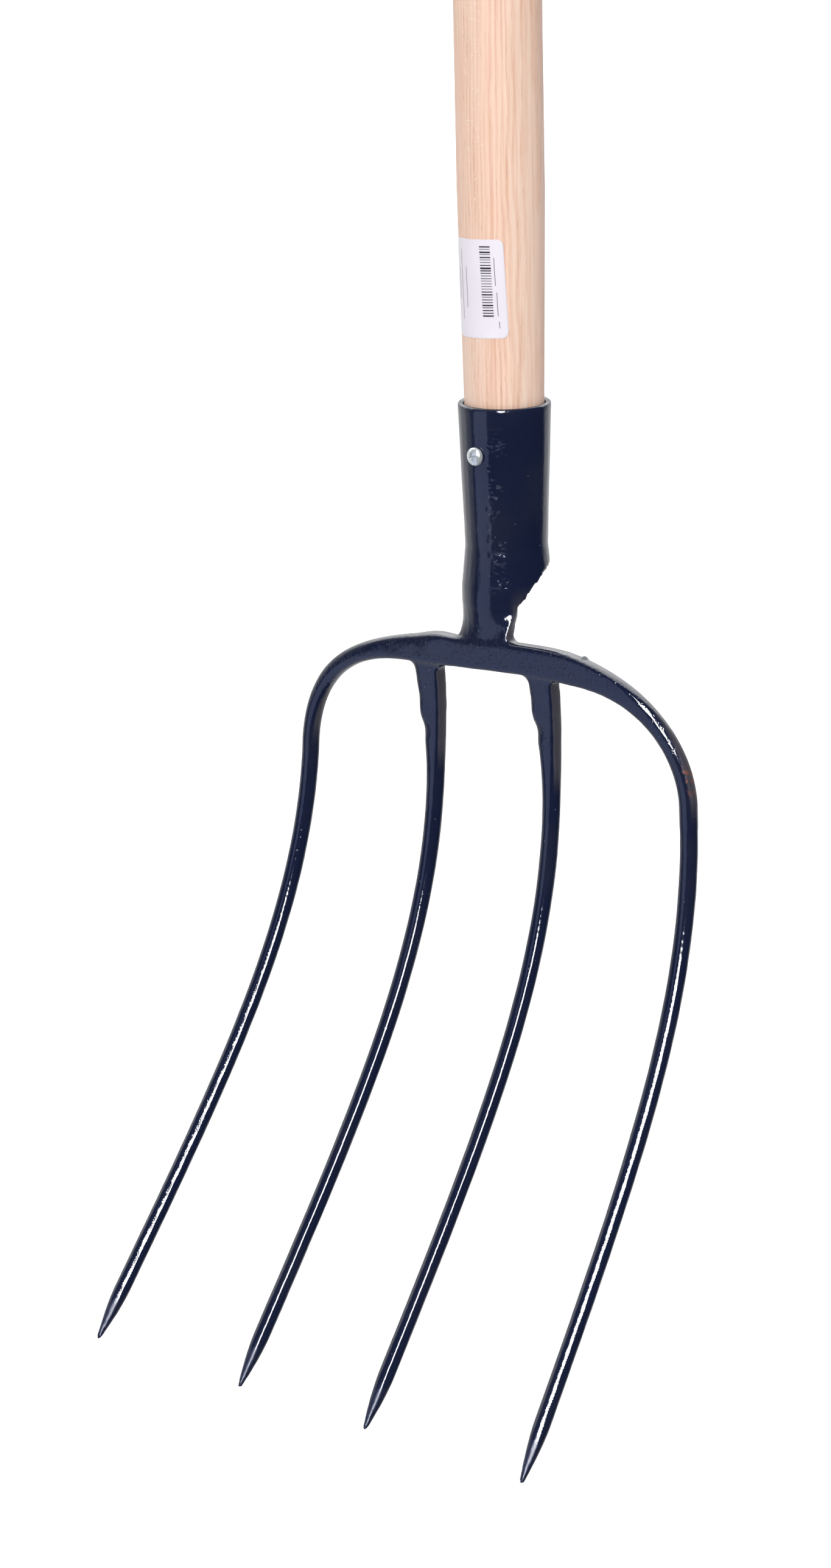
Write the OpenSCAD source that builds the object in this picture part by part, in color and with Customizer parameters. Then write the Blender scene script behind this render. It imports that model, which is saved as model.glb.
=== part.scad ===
// Manure fork: a forged head with four tines, a turned ash handle, one screw through the socket, a label.
// The handle's axis is the Z axis. The tines hang down and sweep forward, towards minus Y.
// The origin is on that axis, in the middle of the handle's straight stretch. Sizes are in millimetres.

/* [Tines] */
// Height from the middle of the yoke down to the points
tine_drop = 321; // [290:1:350]
// Distance between the two inner tines at the yoke, centre to centre
inner_span_top = 67; // [62:0.5:72]
// Distance between the two inner tines at the points
inner_span_tip = 75.5; // [68:0.5:82]
// Distance between the two outer tines at the foot of the shoulders
outer_span_top = 223; // [206:1:236]
// Distance between the two outer tines at the points
outer_span_tip = 255; // [238:1:270]
// Lean of the tines at the yoke, in degrees, backwards on the way down
root_lean = 9; // [5:0.5:12]
// Lean of the tines at the points, in degrees, forwards on the way down
tip_lean = 38.5; // [28:0.5:44]
// Length of the bend, along a tine, in which about two thirds of the lean is gained
bend_length = 132; // [115:1:150]
// How sharply the lean comes in along the bend
bend_power = 1.7; // [1.5:0.05:2]
// Width of a tine where it leaves its root
tine_width = 8; // [7.2:0.1:9]
// Width of a tine just above its point
tine_end_width = 7.3; // [6.6:0.1:8]
// Depth of a tine, front to back, as a share of its width
tine_depth_share = 0.96; // [0.88:0.01:1.04]
// Length of the pointed end
point_length = 26; // [20:1:34]
// Radius of the blunt tip
tip_radius = 1.1; // [0.8:0.1:1.6]

/* [Yoke] */
// Height of the yoke in the middle
yoke_height = 14; // [12:0.5:18]
// Depth of the yoke, front to back
yoke_depth = 8; // [7:0.25:9.5]
// Fall from the middle of the yoke to the foot of the shoulders
shoulder_fall = 60; // [52:1:68]
// How square the shoulders are: 2 is an ellipse, and more is squarer
shoulder_squareness = 3.5; // [2.6:0.1:4]
// Rise of the right shoulder above the mean, with the left one as far below it
shoulder_skew = 3; // [0:0.1:4]
// Width of an inner tine's root, where it leaves the yoke
root_width = 13.5; // [11.5:0.5:15]
// Length over which a root narrows to the tine
root_length = 32; // [24:1:42]
// Radius in the corners between the yoke and the roots
corner_radius = 4; // [3:0.25:5]

/* [Socket and neck] */
// Height of the socket's mouth above the middle of the yoke
socket_height = 113.5; // [104:0.1:122]
// Outer radius at the waist, where the rolled sheet closes
socket_waist_radius = 18.8; // [18.4:0.1:19.8]
// Outer radius below the waist, where the sheet spreads into the neck
socket_foot_radius = 20.7; // [19.6:0.1:21.4]
// Thickness of the socket's wall
socket_wall = 2.8; // [2.4:0.1:3.2]
// Height of the waist above the middle of the yoke
waist_height = 48; // [44:1:52]
// Width of the neck at its narrowest
neck_width = 29; // [23:0.5:31]
// Width of the neck where the sheet begins
neck_top_width = 32; // [27:0.5:34]
// Thickness of the neck at its foot
neck_thickness = 6.5; // [5.5:0.25:7.5]
// Radius in the corners between the yoke and the neck
neck_corner_radius = 2.5; // [1.5:0.25:4]
// Width of the open seam down the back of the socket
seam_width = 1.4; // [0.8:0.1:2.4]

/* [Handle] */
// Length of the handle, with the stretch inside the socket
handle_length = 1300; // [1100:10:1500]
// Diameter of the straight stretch
handle_diameter = 39; // [38:0.5:41]
// Diameter of the handle at the socket's mouth
handle_mouth_diameter = 36; // [35.4:0.1:36.8]
// Length above the mouth over which the handle thickens to its full diameter
handle_taper = 95; // [80:1:140]
// Height of the handle's lower end above the waist of the socket
handle_stop = 1.5; // [0.5:0.1:6]
// Radius round the top end
handle_end_radius = 12; // [6:0.5:16]
// Gap between the wood and the socket's wall, all round
socket_gap = 0.3; // [0.15:0.05:0.5]

/* [Screw] */
// Distance of the screw below the socket's mouth
screw_drop = 22; // [16:0.5:30]
// Diameter of the screw's head
screw_head_diameter = 8.3; // [7.5:0.1:9]
// Height of the screw's head
screw_head_height = 3; // [2.6:0.1:3.4]
// Diameter of the screw's shank
screw_shank_diameter = 4.2; // [3.8:0.1:4.6]
// Length of the screw below its head
screw_length = 25; // [20:1:30]
// Width of the arms of the driver's cross
screw_slot_width = 1; // [0.8:0.1:1.2]

/* [Label] */
// Length of the label along the handle
label_length = 44; // [38:0.5:50]
// Width of the label across its front
label_width = 27; // [22:0.5:30]
// Distance of the label above the socket's mouth
label_rise = 31; // [24:1:40]
// Tilt of the label, in degrees
label_tilt = -2; // [-4:0.5:4]
// Radius of the label's corners
label_corner = 3; // [2:0.5:4]
// Thickness of the label's paper
label_thickness = 0.2; // [0.15:0.05:0.3]

/* [Hidden] */
$fn = 96;

// Heights of the main places on the handle's axis
handle_insertion = socket_height - waist_height - handle_stop;
grip_length = handle_length - handle_insertion - handle_taper - handle_end_radius;
mouth_z = -grip_length / 2 - handle_taper;
yoke_z = mouth_z - socket_height;
screw_z = mouth_z - screw_drop;
handle_foot_z = mouth_z - handle_insertion;

// Gaps round the screw in the wall and in the wood, behind its point, under its head, and under the label
screw_wall_gap = 0.3;
screw_wood_gap = 0.05;
screw_end_gap = 0.5;
screw_seat_gap = 0.05;
label_gap = 0.05;

// Radii of the handle and of the socket round it
grip_radius = handle_diameter / 2;
mouth_radius = handle_mouth_diameter / 2;
socket_mouth_radius = mouth_radius + socket_gap + socket_wall;
socket_taper = (socket_mouth_radius - socket_waist_radius) / (socket_height - waist_height);
handle_foot_radius = mouth_radius - socket_taper * handle_insertion;

// The yoke's middle plane lies this far behind the front of the socket's foot
yoke_set_back = 3.1;
yoke_y = yoke_set_back - socket_foot_radius;
// The yoke keeps its full height as far out as this on both sides of a place a little to the right of the
// middle, and then thins over the fade to the outer tines
yoke_half_length = 36;
yoke_offset = 8;
yoke_fade = 30;
// The skew of the shoulders is reached at this distance from the middle
skew_reach = 89;
// Squareness of the sections: 2 is an oval, and more is nearer to a rectangle
yoke_section_squareness = 7;
tine_section_squareness = 2.4;
// How fast the yoke's section fades outwards, and how full the pointed end is: 1 is a straight cone
yoke_fade_power = 1.6;
point_fullness = 1.5;
// Points round a section, an even number, and the spacing of the sections along a tine
section_points = 16;
section_spacing = 8;
// Sections along half the arch, along the pointed end and along a rounded corner
arch_steps = 24;
point_steps = 8;
corner_steps = 5;
// Turns round the blunt tip at which it has its sections
first_tip_turn = 20;
tip_turn_step = 22;

function unit(v) = v / norm(v);
function signed_power(v, p) = sign(v) * pow(abs(v), p);
function blend(a, b, share) = a + (b - a) * share;
function smooth(share) = let (t = min(1, max(0, share))) t * t * (3 - 2 * t);

// Lean of the tines after a run s from the yoke's middle, positive where they go forward on the way down
function lean(s) = tip_lean - (tip_lean + root_lean) * exp(-pow(s / bend_length, bend_power));

// Side view of the tines, shared by all four: a list of [run, y, z] from the yoke's middle down
side_step = 4;
side_line = [
    for (s = 0, y = yoke_y, z = 0; z > -tine_drop - 2 * side_step;
         y = y - side_step * sin(lean(s + side_step / 2)),
         z = z - side_step * cos(lean(s + side_step / 2)),
         s = s + side_step)
    [s, y, z]
];
y_at_height = [for (p = side_line) [p[2], p[1]]];
run_at_height = [for (p = side_line) [p[2], p[0]]];
function side_y(z) = lookup(z, y_at_height);
function run(z) = lookup(z, run_at_height);

// Rise of the bent bar at a distance x from the middle, because of the skew of its shoulders
function skew_rise(x) = shoulder_skew * sin(90 * max(-1, min(1, x / skew_reach)));

// Middle line of the arch: -90 is the foot of the left shoulder, 0 the yoke, 90 the foot of the right one
function arch_point(angle) =
    let (x = outer_span_top / 2 * signed_power(sin(angle), 2 / shoulder_squareness),
         z = shoulder_fall * (cos(angle) - 1) + skew_rise(x))
    [x, side_y(z), z];

// Height of a point of a tine, its distance from the very tip given
function height_above_tip(distance) = -tine_drop + distance * cos(tip_lean);

// Distances from the tip at which the pointed end has its sections
tip_distances = concat(
    [for (turn = [first_tip_turn : tip_turn_step : 89]) tip_radius * (1 - cos(turn))],
    [for (i = [1 : point_steps]) blend(tip_radius, point_length, i / point_steps)]
);

// Heights of the sections of a tine, from its tip up to the given height
function tine_heights(top) =
    let (start = height_above_tip(point_length), steps = ceil((top - start) / section_spacing))
    concat([for (d = tip_distances) height_above_tip(d)],
           [for (i = [1 : steps]) blend(start, top, i / steps)]);

// A point of a tine's middle line at height z, with x going from one value at its top to another at its tip
function tine_point(z, top, x_top, x_tip) =
    [blend(x_top, x_tip, (run(z) - run(top)) / (run(-tine_drop) - run(top))), side_y(z), z];

// Share of its full size that a tine has at height z: less than 1 only in the pointed end
function point_share(z) =
    let (d = (z + tine_drop) / cos(tip_lean),
         blunt = 2 * tip_radius / tine_end_width)
    d >= point_length ? 1 :
    d >= tip_radius ? blend(blunt, 1, 1 - pow(1 - (d - tip_radius) / (point_length - tip_radius),
                                              point_fullness)) :
    blunt * sqrt(1 - pow(1 - d / tip_radius, 2));

// Width of a plain tine at height z, without its root
function plain_width(z) = blend(tine_width, tine_end_width, smooth(-z / tine_drop)) * point_share(z);

// How much of the yoke's section is left at a point of the outer bar: 1 on the yoke, 0 on a tine
function yoke_share(p) =
    p[2] < -shoulder_fall - shoulder_skew ? 0 :
    exp(-pow(max(0, abs(p[0] - yoke_offset) - yoke_half_length) / yoke_fade, yoke_fade_power));

// The roots lie this far inside the yoke's front and back faces
root_set_in = 0.1;

// Height of the yoke's underside over an inner tine, on the left where the side is -1 and on the right
// where it is 1
function yoke_bottom(side) = skew_rise(side * inner_span_top / 2) - yoke_height / 2;

// How much of the root's section is left on an inner tine at a distance below the yoke
function root_share(below) = exp(-pow(max(0, below) / root_length, 2));

// Extra width on each side of an inner tine's root that rounds its corners with the yoke
function root_flare(below) =
    below >= corner_radius ? 0 :
    corner_radius - sqrt(pow(corner_radius, 2) - pow(corner_radius - max(0, below), 2));

// One section of a bar: a rounded oval square to the bar's direction
function section(centre, ahead, width, depth, squareness) =
    let (side = unit(cross([0, -1, 0], ahead)), front = cross(ahead, side))
    [for (i = [0 : section_points - 1])
        let (angle = 360 * i / section_points)
        centre + side * (width / 2 * signed_power(cos(angle), 2 / squareness))
               + front * (depth / 2 * signed_power(sin(angle), 2 / squareness))];

// Direction of a middle line at its point i
function direction(line, i) = unit(line[min(i + 1, len(line) - 1)] - line[max(i - 1, 0)]);

// A closed solid through rings of equally many points, an even number. A strip across each end closes it.
module skin(rings) {
    n = len(rings[0]);
    last = n * (len(rings) - 1);
    cap = [for (i = [0 : n / 2 - 2]) each [[i, i + 1, n - 1 - i], [i + 1, n - 2 - i, n - 1 - i]]];
    polyhedron(
        points = [for (ring = rings) for (p = ring) p],
        faces = concat(
            cap,
            [for (f = cap) [last + f[2], last + f[1], last + f[0]]],
            [for (r = [0 : len(rings) - 2]) for (i = [0 : n - 1])
                let (a = r * n + i, b = r * n + (i + 1) % n)
                each [[a, a + n, b], [b, a + n, b + n]]]
        )
    );
}

// The outer tines, the shoulders and the yoke, as one bar bent over from tip to tip
module outer_bar() {
    foot_left = arch_point(-90);
    foot_right = arch_point(90);
    left = [for (z = tine_heights(foot_left[2]))
        tine_point(z, foot_left[2], foot_left[0], -outer_span_tip / 2)];
    arch = [for (i = [1 - arch_steps : arch_steps - 1]) arch_point(90 * i / arch_steps)];
    right_up = tine_heights(foot_right[2]);
    right = [for (i = [len(right_up) - 1 : -1 : 0])
        tine_point(right_up[i], foot_right[2], foot_right[0], outer_span_tip / 2)];
    line = concat(left, arch, right);
    skin([for (i = [0 : len(line) - 1])
        let (p = line[i], share = yoke_share(p), plain = plain_width(p[2]))
        section(p, direction(line, i),
                blend(plain, yoke_height, share),
                blend(plain * tine_depth_share, yoke_depth, share),
                blend(tine_section_squareness, yoke_section_squareness, share))]);
}

// One inner tine, with its root widened into the yoke
module inner_tine(side) {
    bottom = yoke_bottom(side);
    plain = tine_heights(bottom - corner_radius);
    flare = [for (i = [corner_steps - 1 : -1 : 0]) bottom - corner_radius * pow(i / corner_steps, 2)];
    heights = concat(plain, flare, [0]);
    line = [for (z = heights) tine_point(z, 0, side * inner_span_top / 2, side * inner_span_tip / 2)];
    skin([for (i = [0 : len(line) - 1])
        let (p = line[i], below = bottom - p[2], share = root_share(below), width = plain_width(p[2]))
        section(p, direction(line, i),
                blend(width, root_width, share) + 2 * root_flare(below),
                blend(width * tine_depth_share, yoke_depth - 2 * root_set_in, share),
                blend(tine_section_squareness, yoke_section_squareness, share))]);
}

// Heights of the neck's landmarks above the middle of the yoke
neck_foot = -yoke_height / 4;
sheet_start = 23;
neck_top = sheet_start + 4;
// The neck curls from the flat of the yoke to the round of the socket from the first height here, over the
// length. The skew lifts the right side's curl and lowers the left's as much. It thins above the last height.
curl_start = 4;
curl_length = 15;
curl_skew = 3;
thinning_start = 15;
// The neck's sides turn with its curl, but only by this share
side_turn = 0.6;
// The neck's foot lies this far to the right of the handle's axis
neck_offset = 0.8;
// The neck's foot lies this far inside the yoke's faces, and its top this far inside the socket's face
foot_set_in = 0.6;
top_set_in = 0.15;
// Points across the neck's front, and as many across its back, and the spacing of its sections
neck_cuts = 9;
neck_spacing = 1;

// Height of the yoke's top at the side of the neck, and of the end of the rounded corner above it
function yoke_top(side) = yoke_height / 2 + skew_rise(side * neck_width / 2);
function neck_round_end(side) = yoke_top(side) + neck_corner_radius;

// Share of the way from the narrow neck to the wide sheet at height z
function neck_spread(z, side) =
    smooth((z - neck_round_end(side)) / (sheet_start - neck_round_end(side)));

// Distance of the neck's edge from the handle's axis on one side at height z, rounded into the yoke's top
function neck_edge(z, side) =
    let (spread = neck_spread(z, side), into = min(neck_corner_radius, max(0, neck_round_end(side) - z)))
    blend(neck_width / 2 + side * neck_offset, neck_top_width / 2, spread)
    + neck_corner_radius - sqrt(pow(neck_corner_radius, 2) - pow(into, 2));

// Drop of a circle's edge below its top, at a distance x to the side
function sag(x, radius) = radius - sqrt(radius * radius - x * x);

// Front and back point of the neck at height z, at a share of its width from -1 on the left to 1 on the right
function neck_points(z, across) =
    let (x = blend(-neck_edge(z, -1), neck_edge(z, 1), (across + 1) / 2),
         curl = smooth((z - curl_start - curl_skew * across) / curl_length),
         thinning = smooth((z - thinning_start) / (neck_top - thinning_start)),
         front = blend(yoke_y - yoke_depth / 2 + foot_set_in, top_set_in - socket_foot_radius, curl)
                 + curl * sag(x, socket_foot_radius),
         thick = blend(yoke_depth - 2 * foot_set_in, neck_thickness, curl)
                 - (neck_thickness - socket_wall) * thinning,
         turn = side_turn * curl * asin(x / socket_foot_radius))
    [[x, front, z], [x - thick * sin(turn), front + thick * cos(turn), z]];

// One level section of the neck: flat like the yoke at its foot, curved like the socket's sheet at its top
function neck_section(z) =
    let (pairs = [for (i = [0 : neck_cuts - 1]) neck_points(z, 2 * i / (neck_cuts - 1) - 1)])
    concat([for (pair = pairs) pair[0]], [for (i = [neck_cuts - 1 : -1 : 0]) pairs[i][1]]);

// The neck, between the yoke and the socket
module neck() {
    skin([for (z = [neck_foot : neck_spacing : neck_top]) neck_section(z)]);
}

// The socket's wall starts inside the neck, and keeps its foot radius up to this height
wall_start = sheet_start - 2;
wall_straight_end = sheet_start + 6;

// Profile of the socket's wall: half of its section, from the foot up to its round rim
module socket_profile() {
    foot_bore = socket_foot_radius - socket_wall;
    rim_z = socket_height - socket_wall / 2;
    polygon([
        [foot_bore, wall_start],
        [socket_foot_radius, wall_start],
        [socket_foot_radius, wall_straight_end],
        [socket_waist_radius, waist_height],
        [socket_mouth_radius, rim_z],
        [socket_mouth_radius - socket_wall, rim_z],
        [socket_waist_radius - socket_wall, waist_height],
        [foot_bore, wall_straight_end]
    ]);
    translate([socket_mouth_radius - socket_wall / 2, rim_z]) circle(r = socket_wall / 2);
}

// The sheet's lower edge, from the side: it turns out of the neck, steps up at a knuckle, slants up to the
// bend below the waist and is nearly level from there to the back
edge_turn = [[0, -1.5], [1.9, 1.4], [4.5, 3], [4.8, 5.2]];
edge_bend = [8.8, waist_height - 9];
edge_back = [2 * socket_mouth_radius, waist_height - 1];
edge_bulge = 1.9;

// What is open below the waist, drawn from the side and cut right across
module open_back() {
    neck_back = sag(neck_top_width / 2, socket_foot_radius) - socket_foot_radius;
    turn = [for (p = edge_turn) [neck_back + p[0], sheet_start + p[1]]];
    middle = (turn[len(turn) - 1] + edge_bend) / 2;
    rotate([90, 0, 90])
    translate([0, 0, -edge_back[0] / 2])
    linear_extrude(height = edge_back[0])
    polygon(concat(
        [[neck_back, 0]],
        turn,
        [middle + [0, edge_bulge], edge_bend, edge_back, [edge_back[0], 0]]
    ));
}

// The open seam, from below the waist up through the rim
module seam() {
    translate([-seam_width / 2, 0, edge_bend[1]])
    cube([seam_width, 2 * socket_mouth_radius, socket_height]);
}

module socket() {
    difference() {
        rotate_extrude() socket_profile();
        open_back();
        seam();
    }
}

module fork_head() {
    color([0.1, 0.12, 0.24])
    translate([0, 0, yoke_z])
    difference() {
        union() {
            outer_bar();
            inner_tine(-1);
            inner_tine(1);
            neck();
            socket();
        }
        translate([0, 0, -yoke_z]) screw_hole(screw_shank_diameter + 2 * screw_wall_gap);
    }
}

module handle() {
    color([0.9, 0.8, 0.68])
    difference() {
        union() {
            translate([0, 0, handle_foot_z])
            cylinder(r1 = handle_foot_radius, r2 = mouth_radius, h = handle_insertion);
            translate([0, 0, mouth_z])
            cylinder(r1 = mouth_radius, r2 = grip_radius, h = handle_taper);
            translate([0, 0, mouth_z + handle_taper])
            rotate_extrude() handle_top_profile();
        }
        screw_hole(screw_shank_diameter + 2 * screw_wood_gap);
    }
}

// Half section of the straight stretch and its round top end
module handle_top_profile() {
    square([grip_radius, grip_length]);
    translate([0, grip_length]) square([grip_radius - handle_end_radius, handle_end_radius]);
    intersection() {
        translate([grip_radius - handle_end_radius, grip_length]) circle(r = handle_end_radius);
        translate([grip_radius - handle_end_radius, grip_length]) square(handle_end_radius);
    }
}

// Outer radius of the socket's wall at a height z on the handle's axis
function socket_radius(z) = socket_waist_radius + socket_taper * (z - yoke_z - waist_height);

// The screw lies along the Y axis, and its head sits just clear of the wall
screw_seat = socket_radius(screw_z + screw_head_diameter / 2) + screw_seat_gap;
// Shares of the head: the height of its straight rim, and the depth and length of the driver's cross
rim_share = 0.35;
driver_depth_share = 0.6;
driver_length_share = 0.56;
// Turn of the driver's cross
driver_angle = 20;
screw_rim = screw_head_height * rim_share;
screw_dome = screw_head_height - screw_rim;
screw_dome_radius = (pow(screw_head_diameter / 2, 2) + pow(screw_dome, 2)) / (2 * screw_dome);
screw_point = screw_shank_diameter;
screw_point_diameter = 0.6;
driver_depth = screw_head_height * driver_depth_share;
driver_length = screw_head_diameter * driver_length_share;

// Places what is drawn along Z on the screw's axis, pointing out of the front of the socket
module on_screw_axis() {
    translate([0, 0, screw_z]) rotate([90, 0, 0]) children();
}

// A round hole for the screw, a little deeper than its point
module screw_hole(diameter) {
    on_screw_axis()
    translate([0, 0, screw_seat - screw_length - screw_end_gap])
    cylinder(d = diameter, h = 2 * socket_mouth_radius);
}

module socket_screw() {
    color([0.8, 0.82, 0.85])
    on_screw_axis()
    translate([0, 0, screw_seat])
    difference() {
        union() {
            cylinder(d = screw_head_diameter, h = screw_rim);
            intersection() {
                translate([0, 0, screw_head_height - screw_dome_radius]) sphere(r = screw_dome_radius);
                translate([0, 0, screw_rim / 2]) cylinder(d = screw_head_diameter, h = screw_head_height);
            }
            translate([0, 0, screw_point - screw_length])
            cylinder(d = screw_shank_diameter, h = screw_length - screw_point + screw_rim / 2);
            translate([0, 0, -screw_length])
            cylinder(d1 = screw_point_diameter, d2 = screw_shank_diameter, h = screw_point);
        }
        translate([0, 0, screw_head_height])
        rotate([0, 0, driver_angle])
        driver_cross();
    }
}

// The cross of the driver's recess, as two slots through the middle
module driver_cross() {
    for (turn = [0, 90])
        rotate([0, 0, turn])
        cube([driver_length, screw_slot_width, 2 * driver_depth], center = true);
}

// Radius of the handle at a height above the socket's mouth, on its taper
function taper_radius(rise) = blend(mouth_radius, grip_radius, rise / handle_taper);

module rounded_rectangle(width, height, radius) {
    square([width, height - 2 * radius], center = true);
    square([width - 2 * radius, height], center = true);
    for (x = [-1, 1]) for (y = [-1, 1])
        translate([x * (width / 2 - radius), y * (height / 2 - radius)]) circle(r = radius);
}

module label() {
    low = label_rise - label_corner;
    high = label_rise + label_length + label_corner;
    color([0.95, 0.95, 0.96])
    translate([0, 0, mouth_z])
    intersection() {
        rotate_extrude()
        polygon([
            [taper_radius(low) + label_gap, low],
            [taper_radius(low) + label_gap + label_thickness, low],
            [taper_radius(high) + label_gap + label_thickness, high],
            [taper_radius(high) + label_gap, high]
        ]);
        translate([0, 0, label_rise + label_length / 2])
        rotate([90, label_tilt, 0])
        linear_extrude(height = handle_diameter)
        rounded_rectangle(label_width, label_length, label_corner);
    }
}

fork_head();
handle();
socket_screw();
label();
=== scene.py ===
"""Looks of a four tined manure fork: enamelled forged head, turned ash handle, one screw and a paper label."""
import math

import bmesh
import bpy
from mathutils import Matrix, Vector


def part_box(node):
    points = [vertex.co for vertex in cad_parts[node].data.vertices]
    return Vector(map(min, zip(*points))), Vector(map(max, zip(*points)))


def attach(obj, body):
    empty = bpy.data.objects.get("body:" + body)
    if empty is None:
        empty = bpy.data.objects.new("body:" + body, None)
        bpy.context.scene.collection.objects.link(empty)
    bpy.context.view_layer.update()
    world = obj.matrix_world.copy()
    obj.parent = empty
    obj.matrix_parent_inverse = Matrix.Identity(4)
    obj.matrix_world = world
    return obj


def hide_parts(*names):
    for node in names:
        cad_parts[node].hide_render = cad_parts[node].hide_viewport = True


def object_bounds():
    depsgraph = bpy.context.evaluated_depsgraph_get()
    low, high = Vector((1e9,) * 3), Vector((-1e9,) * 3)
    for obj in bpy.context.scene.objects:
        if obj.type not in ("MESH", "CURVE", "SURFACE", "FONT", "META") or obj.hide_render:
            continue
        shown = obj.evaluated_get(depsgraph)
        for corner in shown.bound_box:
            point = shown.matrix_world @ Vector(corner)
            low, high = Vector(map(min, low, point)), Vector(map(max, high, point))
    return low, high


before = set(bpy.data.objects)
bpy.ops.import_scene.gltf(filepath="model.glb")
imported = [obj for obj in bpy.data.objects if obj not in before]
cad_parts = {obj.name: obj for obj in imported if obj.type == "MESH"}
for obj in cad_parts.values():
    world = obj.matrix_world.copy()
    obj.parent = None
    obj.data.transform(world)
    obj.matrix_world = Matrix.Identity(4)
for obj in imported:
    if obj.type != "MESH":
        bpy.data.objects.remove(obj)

cad_low, cad_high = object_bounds()

# Sizes in metres, as in the part's source

MM = 0.001
GRIP_RADIUS = 19.5 * MM
MOUTH_RADIUS = 18.0 * MM
TAPER_LENGTH = 95 * MM
END_RADIUS = 12 * MM
SOCKET_HEIGHT = 113.5 * MM
WAIST_HEIGHT = 48 * MM
SOCKET_WAIST_RADIUS = 18.8 * MM
SOCKET_GAP = 0.3 * MM
SOCKET_WALL = 2.8 * MM
SCREW_DROP = 22 * MM
LABEL_LENGTH = 44 * MM
LABEL_WIDTH = 27 * MM
LABEL_RISE = 31 * MM
LABEL_TILT = math.radians(-2)
LABEL_CORNER = 3 * MM

HANDLE_LOW, HANDLE_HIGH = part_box("handle")
HEAD_LOW, HEAD_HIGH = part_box("fork_head")
SCREW_LOW, SCREW_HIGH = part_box("socket_screw")
MOUTH_Z = HEAD_HIGH.z
YOKE_Z = MOUTH_Z - SOCKET_HEIGHT
SCREW_Z = MOUTH_Z - SCREW_DROP
LABEL_Z = MOUTH_Z + LABEL_RISE + LABEL_LENGTH / 2
SOCKET_MOUTH_RADIUS = MOUTH_RADIUS + SOCKET_GAP + SOCKET_WALL
SOCKET_TAPER = (SOCKET_MOUTH_RADIUS - SOCKET_WAIST_RADIUS) / (SOCKET_HEIGHT - WAIST_HEIGHT)
HANDLE_FOOT_RADIUS = MOUTH_RADIUS - SOCKET_TAPER * (MOUTH_Z - HANDLE_LOW.z)

# Node trees


class Value:
    """A socket of a node tree. Sums, products and comparisons of it add Math nodes."""

    def __init__(self, tree, socket):
        self.tree = tree
        self.socket = socket

    def math(self, operation, *others):
        return add_node(self.tree, "ShaderNodeMath", {"operation": operation}, self, *others)

    def __add__(self, other):
        return self.math("ADD", other)

    def __sub__(self, other):
        return self.math("SUBTRACT", other)

    def __mul__(self, other):
        return self.math("MULTIPLY", other)

    def __truediv__(self, other):
        return self.math("DIVIDE", other)

    def __rsub__(self, other):
        return add_node(self.tree, "ShaderNodeMath", {"operation": "SUBTRACT"}, other, self)

    __radd__ = __add__
    __rmul__ = __mul__

    def __neg__(self):
        return self * -1.0

    def above(self, edge):
        return self.math("GREATER_THAN", edge)

    def below(self, edge):
        return self.math("LESS_THAN", edge)

    def fraction(self):
        return self.math("FRACT")

    def size(self):
        return self.math("ABSOLUTE")

    def root(self):
        return self.math("SQRT")

    def at_least(self, floor_value):
        return self.math("MAXIMUM", floor_value)

    def clamped(self):
        return add_node(self.tree, "ShaderNodeClamp", {}, self)

    def step(self, start, end):
        """0 up to start, 1 from end on, with a smooth rise between them."""
        settings = {"interpolation_type": "SMOOTHSTEP"}
        return add_node(self.tree, "ShaderNodeMapRange", settings, self, start, end, 0.0, 1.0)

    def between(self, start, end, soft):
        """1 between two values, with soft sides."""
        return self.step(start - soft, start + soft) * (1 - self.step(end - soft, end + soft))


def add_node(tree, kind, settings, *inputs, out=0, **named):
    """Adds a node: its settings first, then its sockets by place or by name. Returns one of its outputs."""
    made = tree.nodes.new(kind)
    for name, setting in settings.items():
        setattr(made, name, setting)
    for place, value in enumerate(inputs):
        join(tree, made.inputs[place], value)
    for name, value in named.items():
        join(tree, made.inputs[name.replace("_", " ")], value)
    return Value(tree, made.outputs[out])


def join(tree, socket, value):
    """Links a value to a socket, or writes a constant on it."""
    if isinstance(value, Value):
        tree.links.new(value.socket, socket)
    elif isinstance(value, (tuple, list)) and socket.type == "RGBA" and len(value) == 3:
        socket.default_value = (*value, 1.0)
    else:
        socket.default_value = value


def colour(red, green, blue):
    """A colour as the eye reads it, from 0 to 255, in the linear values that the nodes use."""
    def linear(part):
        part = part / 255
        return part / 12.92 if part <= 0.04045 else ((part + 0.055) / 1.055) ** 2.4
    return (linear(red), linear(green), linear(blue))


def mix_colour(tree, share, first, second):
    """The first colour where the share is 0 and the second where it is 1."""
    made = tree.nodes.new("ShaderNodeMix")
    made.data_type = "RGBA"
    join(tree, made.inputs[0], share)
    join(tree, made.inputs[6], first)
    join(tree, made.inputs[7], second)
    return Value(tree, made.outputs[2])


def noise(tree, place, scale, detail=2.0, roughness=0.5):
    return add_node(tree, "ShaderNodeTexNoise", {}, Vector=place, Scale=scale, Detail=detail,
                    Roughness=roughness)


def cells(tree, place, scale):
    """Scattered cells: the distance to the cell's middle, in cells, and two random values of the cell."""
    made = tree.nodes.new("ShaderNodeTexVoronoi")
    join(tree, made.inputs["Vector"], place)
    join(tree, made.inputs["Scale"], scale)
    chance = axes(tree, Value(tree, made.outputs["Color"]))
    return Value(tree, made.outputs["Distance"]), chance[0], chance[1]


def stretched(tree, place, scale):
    """Coordinates multiplied along each axis."""
    return add_node(tree, "ShaderNodeVectorMath", {"operation": "MULTIPLY"}, place, scale)


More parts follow.
